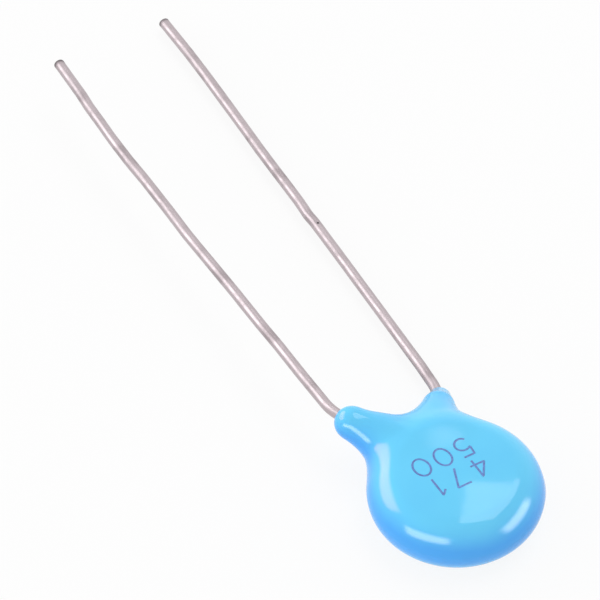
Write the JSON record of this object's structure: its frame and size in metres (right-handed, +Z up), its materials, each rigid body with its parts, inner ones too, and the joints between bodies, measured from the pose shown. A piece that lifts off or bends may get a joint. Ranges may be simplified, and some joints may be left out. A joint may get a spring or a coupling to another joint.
{
  "type": "ceramic disc capacitor",
  "caption": "Round ceramic disc capacitor for high voltage, lying flat: a glossy blue dipped epoxy coat with short legs that run down long straight tinned wire leads.",
  "frame": {"origin": "the middle of the flat underside of the coat, below the axis of the disc", "axes": "+Z up along the axis of the disc; +Y along the leads, from the body to their tips; +X to the side where the lower lead leaves"},
  "size_m": [0.0093, 0.0416, 0.0035],
  "materials": {
    "blue_epoxy": "gloss",
    "tinned_wire": "satin",
    "solder": "satin",
    "silver_film": "matte",
    "ceramic": "matte"
  },
  "bodies": {
    "root": {"ceramic_disc": "ceramic", "top_electrode": "silver_film", "bottom_electrode": "silver_film", "top_lead": "tinned_wire", "bottom_lead": "tinned_wire", "top_solder": "solder", "bottom_solder": "solder", "epoxy_coating": "blue_epoxy"}
  },
  "joints": []
}
